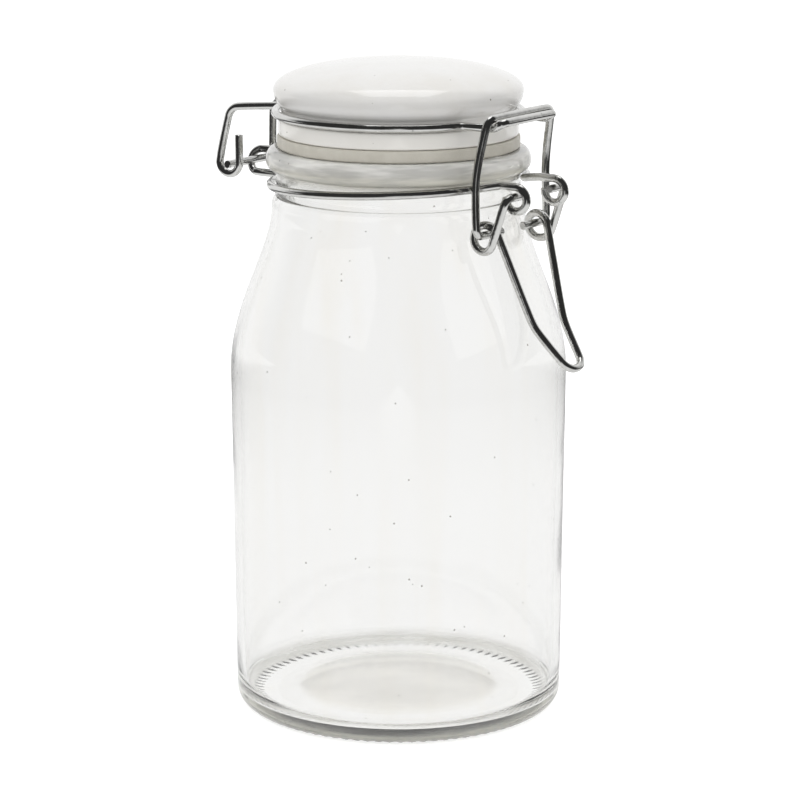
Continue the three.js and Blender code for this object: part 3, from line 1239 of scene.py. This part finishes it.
@dataclass
class NeckWire(BentWire):
    """One wire round the jar's neck: lever eyes in front, a hinge loop behind."""

    name: ClassVar[str] = "neck_ring"
    node: ClassVar[str] = "neck_wire"
    body: ClassVar[Body] = Body.JAR

    jar: GlassJar
    ring_slack: float = 0.1
    ring_bend: float = 2.5
    eye_reach: float = 9.0
    eye_arm: float = 4.5
    arm_bend: float = 3.0
    eye_half_gap: float = 8.2
    eye_radius: float = 2.9
    eye_sweep: float = 275.0
    eye_leave: float = 22.0
    eye_lift: float = 1.2
    hinge_reach: float = 14.7
    wrap_radius: float = 2.8
    wrap_side: float = 3.6
    wrap_drift: float = 1.2
    wrap_foot: float = 7.4
    wrap_bridge: float = 5.4
    wrap_lift: float = 1.4
    bridge_bend: float = 2.2
    hinge_leave: float = 18.0

    @property
    def ring(self) -> float:
        """Radius of the ring in the jar's groove."""
        return self.jar.groove_radius + WIRE_RADIUS + GAP + self.ring_slack

    @property
    def eye(self) -> Pair:
        """X and Z of the eyes' middle."""
        top = self.jar.ring_height + self.jar.ring_rise + self.eye_lift
        return self.ring + self.eye_reach, top - self.eye_radius

    @property
    def lever_pivot(self) -> Pair:
        """X and Z of the lever's pins in the eyes."""
        return self.eye[0], self.eye[1] + self.eye_radius - 2 * WIRE_RADIUS - GAP

    @property
    def wrap(self) -> Pair:
        """X and Z of the hinge loop's middle."""
        return -(self.ring + self.hinge_reach), self.jar.ring_height - self.jar.ring_rise + self.wrap_lift

    @property
    def bar_height(self) -> float:
        """Height of the hinge bar in its loop."""
        return self.wrap[1] + self.wrap_radius - 2 * WIRE_RADIUS - GAP

    def stations(self) -> Array:
        """Gives the wire's stations: near eye, near half ring, hinge loop, far half ring, far eye.

        Returns:
            X, Y, Z and bend radius of each station.
        """
        jar, side = self.jar, self.eye_half_gap
        eye_end = FULL_TURN + LOOP_TOP
        eye_x, eye_z = self.eye
        wrap_x, wrap_z = self.wrap
        side_in, side_out = self.wrap_side - self.wrap_drift, self.wrap_side + self.wrap_drift
        ring_ends = -self.eye_leave, self.hinge_leave - FULL_TURN / 2
        half = np.vstack([
            loop_stations(self.eye, self.eye_radius, eye_end - self.eye_sweep, eye_end, (-side, -side)),
            station(eye_x - self.eye_arm, -side, eye_z + self.eye_radius, self.arm_bend),
            ring_stations(self.ring, *ring_ends, jar.ring_height, jar.ring_rise, self.ring_bend),
        ])
        return np.vstack([
            half,
            station(wrap_x + self.wrap_foot, side_in, wrap_z - self.wrap_radius, self.arm_bend),
            loop_stations(self.wrap, self.wrap_radius, LOOP_FOOT, LOOP_TOP, (side_in, side_out)),
            station(wrap_x + self.wrap_bridge, side_out, wrap_z + self.wrap_radius, self.bridge_bend),
            mirrored(half),
        ])


@dataclass
class LidWire(BentWire):
    """One wire round the lid: the catch in front, hinge arms, hook and bar behind."""

    name: ClassVar[str] = "lid_ring"
    node: ClassVar[str] = "lid_wire"
    body: ClassVar[Body] = Body.LID

    lid: CeramicLid
    neck: NeckWire
    ring_slack: float = 0.15
    ring_bend: float = 2.5
    arm_half_gap: float = 8.7
    arm_drop: float = 1.6
    arm_inset: float = 0.4
    arm_bend: float = 4.0
    hook_radius: float = 3.1
    hook_stub: float = 7.0
    hook_lift: float = 0.7
    bar_overhang: float = 1.0
    catch_reach: float = 8.1
    catch_lift: float = 1.4
    catch_knee: float = 2.3
    catch_half_width: float = 10.8
    catch_bend: float = 2.2
    catch_leave: float = 24.0

    @property
    def ring(self) -> float:
        """Radius of the ring in the lid's groove."""
        return self.lid.groove_radius + WIRE_RADIUS + GAP + self.ring_slack

    @property
    def lip(self) -> Pair:
        """X and Z of the catch's front."""
        return self.ring + self.catch_reach, self.lid.ring_height + self.catch_lift

    def stations(self) -> Array:
        """Gives the wire's stations: near hook, arm, half ring, catch, half ring, far arm, hinge bar.

        Returns:
            X, Y, Z and bend radius of each station.
        """
        x, bar = self.neck.wrap[0], self.neck.bar_height
        level = self.lid.ring_height
        hook, arm_top = bar + self.hook_lift, level - self.arm_drop
        side, wide, bend = self.arm_half_gap, self.catch_half_width, self.catch_bend
        leave = FULL_TURN / 2 - math.degrees(math.asin(side / self.ring))
        lip_x, lip_z = self.lip
        knee = lip_x - self.catch_knee
        return np.vstack([
            station(x + self.hook_radius, -side, hook + self.hook_stub),
            loop_stations((x, hook), self.hook_radius, 0, -FULL_TURN / 2, (-side, -side)),
            station(x + self.arm_inset, -side, arm_top, self.arm_bend),
            ring_stations(self.ring, -leave, -self.catch_leave, level, 0, self.ring_bend),
            station(knee, -wide, level, bend),
            station(lip_x, -wide, lip_z, bend),
            station(lip_x, wide, lip_z, bend),
            station(knee, wide, level, bend),
            ring_stations(self.ring, self.catch_leave, leave, level, 0, self.ring_bend),
            station(x + self.arm_inset, side, arm_top, self.arm_bend),
            station(x, side, bar, bend),
            station(x, -side - self.bar_overhang, bar),
        ])


@dataclass
class ClaspLever(BentWire):
    """The lever: pins in the neck wire's eyes, cranks, coils for the bail, and the finger loop."""

    name: ClassVar[str] = "lever_loop"
    node: ClassVar[str] = "clasp_lever"
    body: ClassVar[Body] = Body.LEVER

    jar: GlassJar
    neck: NeckWire
    coil_radius: float = 3.1
    coil_pitch: float = 2.15
    coil_half_gap: float = 11.6
    coil_stand_off: float = 2.5
    crank_drop: float = 9.6
    pin_bend: float = 2.0
    pin_overhang: float = 2.1
    kink_out: float = 10.8
    kink_drop: float = 21.2
    tip_out: float = 18.7
    tip_drop: float = 31.1
    kink_half: float = 6.4
    tip_half: float = 3.2
    kink_bend: float = 14.0
    tip_bend: float = 3.6

    @property
    def coil(self) -> Pair:
        """X and Z of the coils' middle."""
        return self.jar.neck_radius + self.coil_stand_off, self.neck.eye[1] - self.crank_drop

    @property
    def bail_pin(self) -> Pair:
        """X and Z of the bail's pins in the coils."""
        return self.coil[0], self.coil[1] + self.coil_radius - 2 * WIRE_RADIUS - GAP

    def tangent(self, x: float, z: float, side: int) -> float:
        """Gives where a wire to a point meets the coil: its bearing, plus side * acos(radius / distance)."""
        dx, dz = x - self.coil[0], z - self.coil[1]
        return math.degrees(math.atan2(dz, dx) + side * math.acos(self.coil_radius / math.hypot(dx, dz)))

    def stations(self) -> Array:
        """Gives the wire's stations: near pin, crank, coil, arm, tip, and the same mirrored.

        Returns:
            X, Y, Z and bend radius of each station.
        """
        x, z = self.coil
        crank = self.coil_half_gap + self.coil_pitch / 2
        arm = self.coil_half_gap - self.coil_pitch / 2
        pivot_x, pivot_z = self.neck.lever_pivot
        kink_x, kink_z = x + self.kink_out, z - self.kink_drop
        enter = self.tangent(pivot_x, pivot_z, -1)
        leave = self.tangent(kink_x, kink_z, 1) - FULL_TURN
        half = np.vstack([
            station(pivot_x, -self.neck.eye_half_gap + self.pin_overhang, pivot_z),
            station(pivot_x, -crank, pivot_z, self.pin_bend),
            loop_stations(self.coil, self.coil_radius, enter, leave, (-crank, -arm)),
            station(kink_x, -self.kink_half, kink_z, self.kink_bend),
            station(x + self.tip_out, -self.tip_half, z - self.tip_drop, self.tip_bend),
        ])
        return np.vstack([half, mirrored(half)])


@dataclass
class ClaspBail(BentWire):
    """The bail: pins in the lever's coils, bowed legs, and the bar that lies over the catch."""

    name: ClassVar[str] = "bail_loop"
    node: ClassVar[str] = "clasp_bail"
    body: ClassVar[Body] = Body.BAIL

    lever: ClaspLever
    catch: LidWire
    behind_lip: float = 2.55
    bow: float = 1.6
    bow_bend: float = 40.0
    top_bend: float = 2.4
    top_half: float = 13.5
    pin_end: float = 4.5

    @property
    def top(self) -> Pair:
        """X and Z of the bar, lying on the catch's level sides behind the lip."""
        return self.catch.lip[0] - self.behind_lip, self.catch.lid.ring_height + 2 * WIRE_RADIUS + GAP

    def stations(self) -> Array:
        """Gives the wire's stations: near pin, bowed leg, bar, and the same mirrored.

        Returns:
            X, Y, Z and bend radius of each station.
        """
        foot = self.lever.coil_half_gap + self.lever.coil_pitch / 2 + 2 * WIRE_RADIUS + GAP
        (pin_x, pin_z), (top_x, top_z) = self.lever.bail_pin, self.top
        half = np.vstack([
            station(pin_x, -self.pin_end, pin_z),
            station(pin_x, -foot, pin_z, self.lever.pin_bend),
            station((pin_x + top_x) / 2 - self.bow, -foot, (pin_z + top_z) / 2, self.bow_bend),
            station(top_x, -self.top_half, top_z, self.top_bend),
        ])
        return np.vstack([half, mirrored(half)])


# Stage: floor, light and camera


@dataclass(frozen=True)
class Lamp:
    """A soft square lamp: millimetres right, away and up as the camera sees it, width, and power in watts.

    Only a lamp with a glint shows as a bright square in gloss.
    """

    name: str
    place: Triple
    size: float
    power: float
    glint: bool = False


@dataclass
class Studio:
    """White floor and surround with a dim room in front, soft lamps, and the camera.

    The floor and the clip distances are in metres. The pairs say where the floor, and the surround along a
    unit direction, change in gloss.
    """

    azimuth: float = 36.0
    distance: float = 800.0
    height: float = 261.0
    aim: float = 77.0
    focal_px: float = 3296.0
    axis_px: float = 398.5
    image_px: float = 800.0
    sensor: float = 36.0
    clip_start: float = 0.01
    clip_end: float = 200.0
    ambient: float = 0.66
    room: float = 0.04
    floor_half: float = 30.0
    floor_tone: Colour = (0.8, 0.8, 0.8)
    floor_glow: float = 0.62
    floor_near: Pair = (0.22, 0.44)
    floor_behind: Pair = (0.25, 0.6)
    floor_strip: Pair = (0.04, 0.12)
    strip_glow: float = 0.8
    room_edge: Pair = (0.15, 0.6)
    lamps: tuple[Lamp, ...] = (
        Lamp("key_lamp", (-620, -500, 900), 1200, 3.8),
        Lamp("fill_lamp", (700, -350, 620), 800, 1.6),
        Lamp("top_lamp", (0, 150, 1100), 600, 1.9, glint=True),
    )

    def toward(self, right: float, away: float, up: float) -> Triple:
        """Gives a place from the camera's view of it: right and away are turned about Z by the azimuth.

        Args:
            right: Millimetres to the camera's right.
            away: Millimetres away from it.
            up: Height in millimetres.

        Returns:
            X, Y and Z in metres.
        """
        a = math.radians(self.azimuth)
        x = right * math.cos(a) - away * math.sin(a)
        y = right * math.sin(a) + away * math.cos(a)
        return x * MM, y * MM, up * MM

    @property
    def ahead(self) -> Triple:
        """Level unit direction away from the camera."""
        return self.toward(0, 1 / MM, 0)

    @property
    def rightward(self) -> Triple:
        """Level unit direction to the camera's right."""
        return self.toward(1 / MM, 0, 0)

    def floor(self) -> None:
        """Lays the pale floor: it takes the shadow, is white through glass, and dims to a room in gloss."""
        g = Graph(bpy.data.materials.new("floor_white"))
        path = g.add("ShaderNodeLightPath").outputs
        plain = g.add("ShaderNodeBsdfDiffuse", {"Color": (*self.floor_tone, 1.0)})
        seen = g.math("MULTIPLY", path["Is Camera Ray"], self.floor_glow)
        glow = g.add("ShaderNodeEmission", {"Strength": seen})
        both = g.add("ShaderNodeAddShader", {0: plain.outputs["BSDF"], 1: glow.outputs["Emission"]})
        place = g.place()
        near = g.ramp(g.length(place), self.floor_near, (1.0, self.room))
        behind = g.ramp(g.along(place, self.ahead), self.floor_behind)
        aside = g.math("ABSOLUTE", g.along(place, self.rightward))
        strip = g.ramp(aside, self.floor_strip, (self.strip_glow, 0.0))
        gloss = g.math("MAXIMUM", g.math("MAXIMUM", near, behind), strip)
        level = g.math("MAXIMUM", path["Is Transmission Ray"], gloss)
        shown = g.add("ShaderNodeEmission", {"Strength": level}).outputs["Emission"]
        share = g.math("MAXIMUM", path["Is Glossy Ray"], path["Is Transmission Ray"])
        mixed = g.add("ShaderNodeMixShader", {0: share, 1: both.outputs["Shader"], 2: shown})
        half = self.floor_half
        mesh = bpy.data.meshes.new("floor")
        corners = [(-half, -half, 0), (half, -half, 0), (half, half, 0), (-half, half, 0)]
        mesh.from_pydata(corners, [], [(0, 1, 2, 3)])
        mesh.materials.append(g.finish(mixed.outputs["Shader"]))
        sheet = bpy.data.objects.new("floor", mesh)
        bpy.context.scene.collection.objects.link(sheet)

    def world(self) -> None:
        """Makes the surround: white to camera and through glass, softer as light, dim in front in gloss."""
        world = bpy.data.worlds.new("white_surround")
        bpy.context.scene.world = world
        g = Graph(world)
        path = g.add("ShaderNodeLightPath").outputs
        way = g.add("ShaderNodeTexCoord").outputs["Generated"]
        room = g.ramp(g.along(way, self.ahead), self.room_edge, (self.room, 1.0))
        gloss = g.math("MULTIPLY", path["Is Glossy Ray"], room)
        clear = g.math("MAXIMUM", path["Is Camera Ray"], path["Is Transmission Ray"])
        soft = g.math("MULTIPLY", path["Is Diffuse Ray"], self.ambient)
        level = g.math("MAXIMUM", soft, g.math("MAXIMUM", clear, gloss))
        back = g.add("ShaderNodeBackground", {"Color": (1.0, 1.0, 1.0, 1.0), "Strength": level})
        g.add("ShaderNodeOutputWorld", {"Surface": back.outputs["Background"]})

    def aimed(self, name: str, data: bpy.types.Light | bpy.types.Camera, place: Triple) -> Object:
        """Puts a lamp or a camera at a place and points it at the middle of the jar.

        The turn that points -Z along a direction is a tilt about X, then the bearing about Z.

        Args:
            name: The object's name.
            data: The lamp or camera.
            place: Millimetres right, away and up as the camera sees them.

        Returns:
            The object, in the scene.
        """
        aimed = bpy.data.objects.new(name, data)
        aimed.location = self.toward(*place)
        x, y, z = np.array([0, 0, self.aim * MM]) - np.array(aimed.location)
        aimed.rotation_euler = math.atan2(math.hypot(x, y), -z), 0.0, math.atan2(-x, y)
        bpy.context.scene.collection.objects.link(aimed)
        return aimed

    def hang(self, lamp: Lamp) -> None:
        """Hangs a lamp.

        Args:
            lamp: The lamp's sizes.
        """
        data = bpy.data.lights.new(lamp.name, "AREA")
        data.size = lamp.size * MM
        data.energy = lamp.power
        self.aimed(lamp.name, data, lamp.place).visible_glossy = lamp.glint

    def camera(self) -> None:
        """Sets the camera where the picture was taken from, with the picture taken as a square."""
        data = bpy.data.cameras.new("camera")
        data.sensor_width = self.sensor
        data.lens = self.focal_px / self.image_px * self.sensor
        data.shift_x = (self.image_px / 2 - self.axis_px) / self.image_px
        data.clip_start, data.clip_end = self.clip_start, self.clip_end
        bpy.context.scene.camera = self.aimed("camera", data, (0, -self.distance, self.height))

    def build(self) -> None:
        """Sets up the whole stage."""
        self.camera()
        self.world()
        self.floor()
        for lamp in self.lamps:
            self.hang(lamp)
        log.info("stage: floor, surround, %d lamps and camera", len(self.lamps))


def plain(box: Any) -> list[list[float]]:
    """Gives a box as two plain lists of numbers."""
    return [[round(float(v), 6) for v in corner] for corner in box]


def main() -> None:
    """Builds the stage and the seven pieces in order."""
    logging.basicConfig(level=logging.INFO, format="%(name)s: %(message)s")
    bpy.context.scene.view_settings.view_transform = "Standard"
    Studio().build()
    plating = PlatedWire().material()
    jar = GlassJar()
    jar.build(ClearGlass().material())
    lid = CeramicLid(jar)
    lid.build(WhiteGlaze().material())
    SealGasket(lid).build(PaleRubber().material())
    neck = NeckWire(jar)
    catch = LidWire(lid, neck)
    lever = ClaspLever(jar, neck)
    for piece in (neck, catch, lever, ClaspBail(lever, catch)):
        piece.build(plating)


if __name__ == "__main__":
    main()
